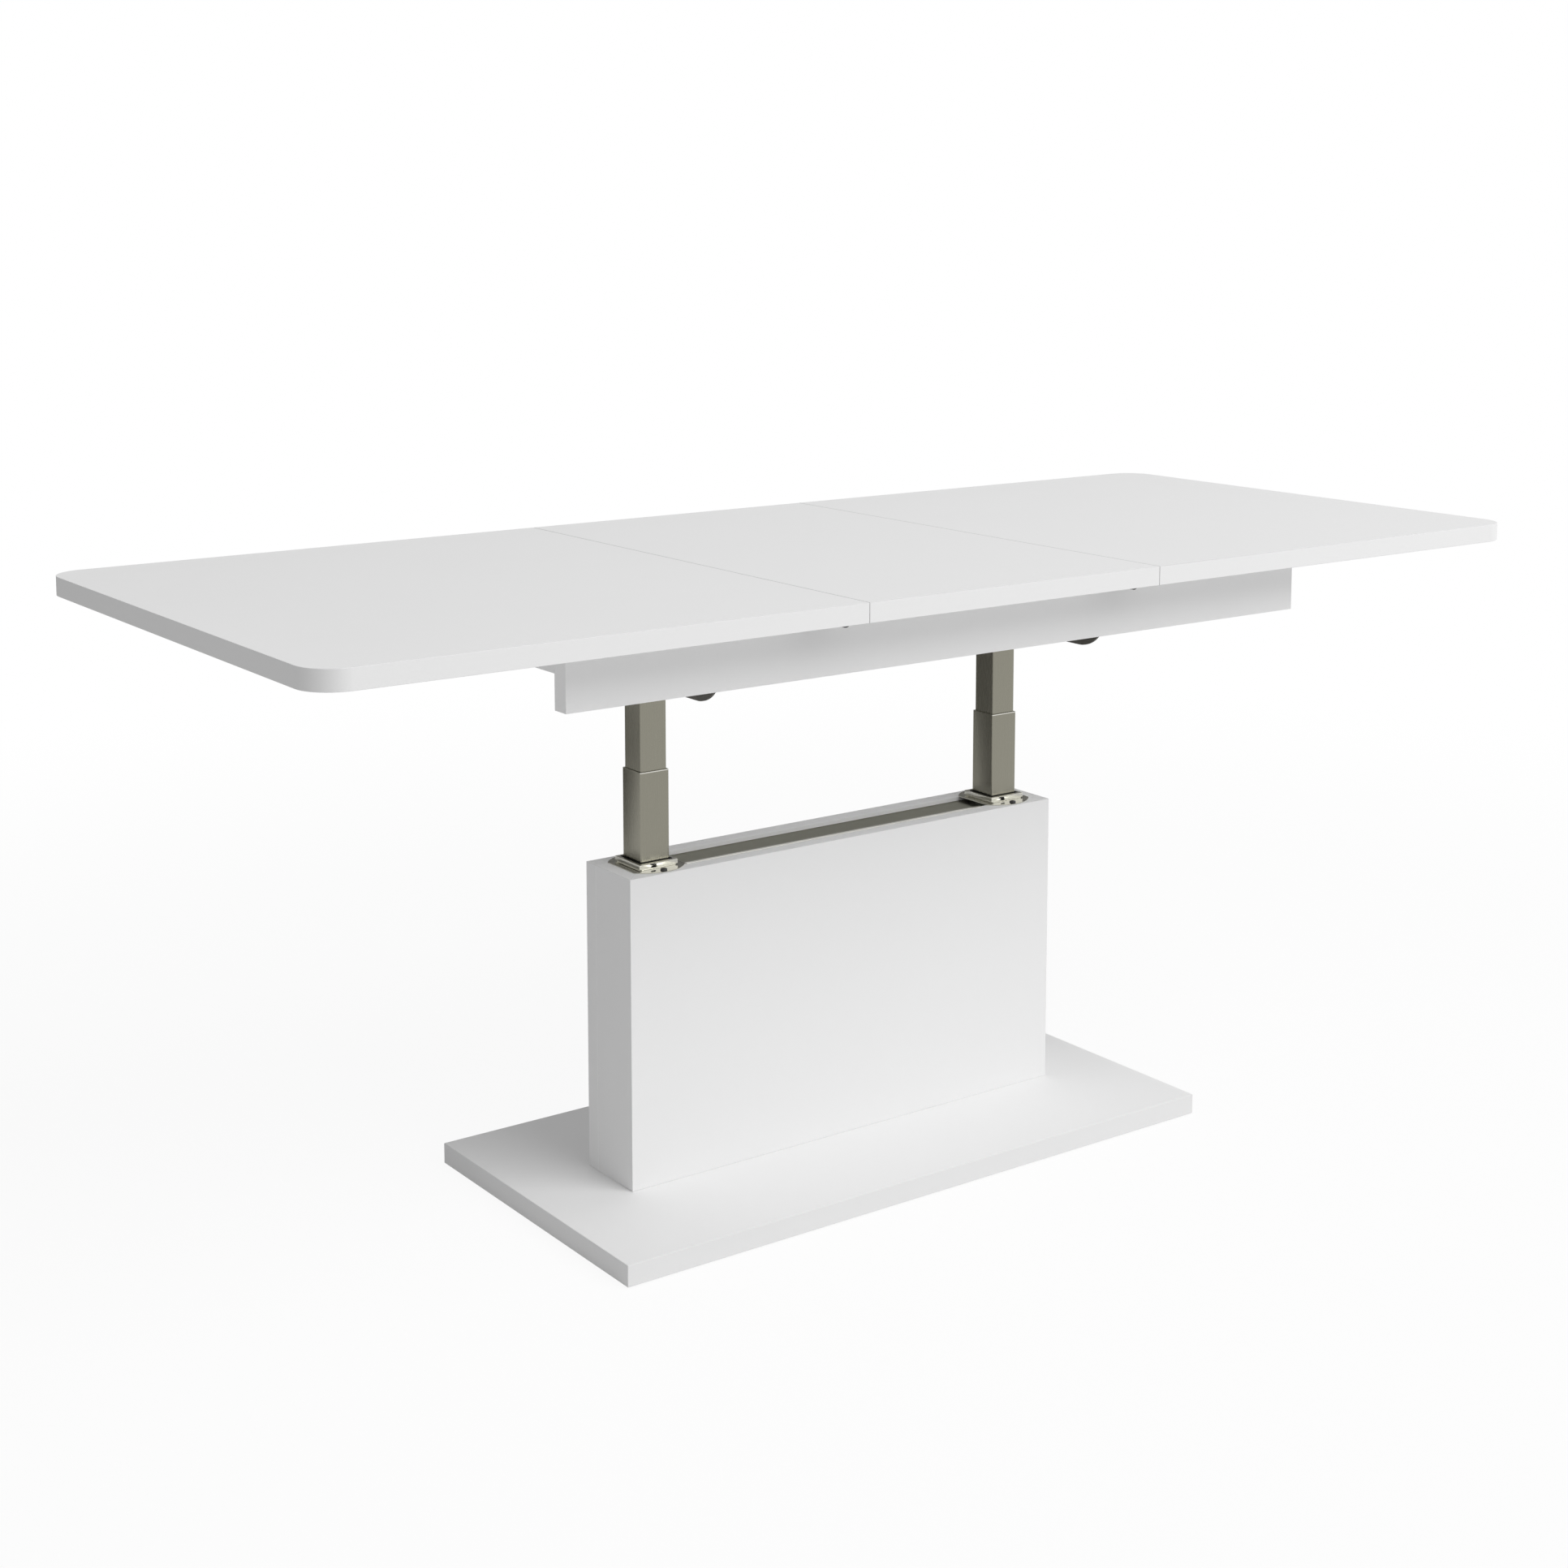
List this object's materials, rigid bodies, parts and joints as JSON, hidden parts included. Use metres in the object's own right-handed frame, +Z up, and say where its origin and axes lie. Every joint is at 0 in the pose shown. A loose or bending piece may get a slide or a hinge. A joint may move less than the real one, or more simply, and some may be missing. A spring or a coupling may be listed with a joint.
{
  "type": "extending lift table",
  "caption": "Extending pedestal table that lifts from coffee to dining height on telescopic columns, with sliding end leaves and a loose insert leaf.",
  "frame": {"origin": "on the floor under the middle of the base plate", "axes": "+X along the table, -Y to the front, +Z up"},
  "size_m": [1.68, 0.7, 0.7475],
  "materials": {
    "white_laminate": "matt white laminate on board",
    "satin_nickel": "satin nickel plate",
    "dark_steel": "dark grey powder coat",
    "zinc_steel": "bright zinc plate",
    "slider_aluminium": "drawn aluminium",
    "black_paint": "black stove enamel",
    "chromed_rod": "hard chrome",
    "black_plastic": "moulded",
    "grey_plastic": "moulded"
  },
  "bodies": {
    "pedestal": {"base_plate": "white_laminate", "base_glides": "black_plastic", "pedestal_screws": "zinc_steel", "pedestal_front_panel": "white_laminate", "pedestal_back_panel": "white_laminate", "pedestal_left_end": "white_laminate", "pedestal_right_end": "white_laminate", "foot_bar": "zinc_steel", "foot_screws": "zinc_steel", "top_channel": "satin_nickel", "flange_screws": "dark_steel", "left_guide_tube": "zinc_steel", "right_guide_tube": "zinc_steel", "left_flange": "satin_nickel", "right_flange": "satin_nickel", "left_collar": "satin_nickel", "right_collar": "satin_nickel", "left_wiper": "black_plastic", "right_wiper": "black_plastic", "left_gas_cylinder": "black_paint", "right_gas_cylinder": "black_paint"},
    "lift_stage": {"left_outer_tube": "satin_nickel", "right_outer_tube": "satin_nickel", "left_outer_bush": "black_plastic", "right_outer_bush": "black_plastic"},
    "top_frame": {"left_inner_tube": "satin_nickel", "right_inner_tube": "satin_nickel", "left_inner_bush": "black_plastic", "right_inner_bush": "black_plastic", "left_gas_rod": "chromed_rod", "right_gas_rod": "chromed_rod", "left_head_arm": "dark_steel", "right_head_arm": "dark_steel", "left_end_board": "white_laminate", "right_end_board": "white_laminate", "left_column_board": "white_laminate", "right_column_board": "white_laminate", "front_rail": "white_laminate", "back_rail": "white_laminate", "arm_screws": "zinc_steel", "corner_brackets": "zinc_steel", "front_runner": "zinc_steel", "back_runner": "zinc_steel", "runner_screws": "zinc_steel"},
    "left_end_leaf": {"left_leaf": "white_laminate", "left_front_slider": "slider_aluminium", "left_back_slider": "slider_aluminium", "left_slider_screws": "zinc_steel", "left_seam_supports": "grey_plastic"},
    "right_end_leaf": {"right_leaf": "white_laminate", "right_front_slider": "slider_aluminium", "right_back_slider": "slider_aluminium", "right_slider_screws": "zinc_steel", "right_seam_supports": "grey_plastic"},
    "insert": {"insert_leaf": "white_laminate"}
  },
  "joints": [
    {"name": "lift", "type": "slide", "parent": "pedestal", "child": "top_frame", "axis": [0, 0, 1], "range_m": [-0.185, 0]},
    {"name": "stage_lift", "type": "slide", "parent": "pedestal", "child": "lift_stage", "axis": [0, 0, 1], "range_m": [-0.0925, 0]},
    {"name": "left_pull", "type": "slide", "parent": "top_frame", "child": "left_end_leaf", "axis": [-1, 0, 0], "range_m": [0, 0.03]},
    {"name": "right_pull", "type": "slide", "parent": "top_frame", "child": "right_end_leaf", "axis": [1, 0, 0], "range_m": [0, 0.03]},
    {"name": "insert_lift_off", "type": "slide", "parent": "top_frame", "child": "insert", "axis": [0, 0, 1], "range_m": [0, 0.2]}
  ],
  "couplings": [
    {"joint": "stage_lift", "follows": "lift", "ratio": 0.5}
  ]
}
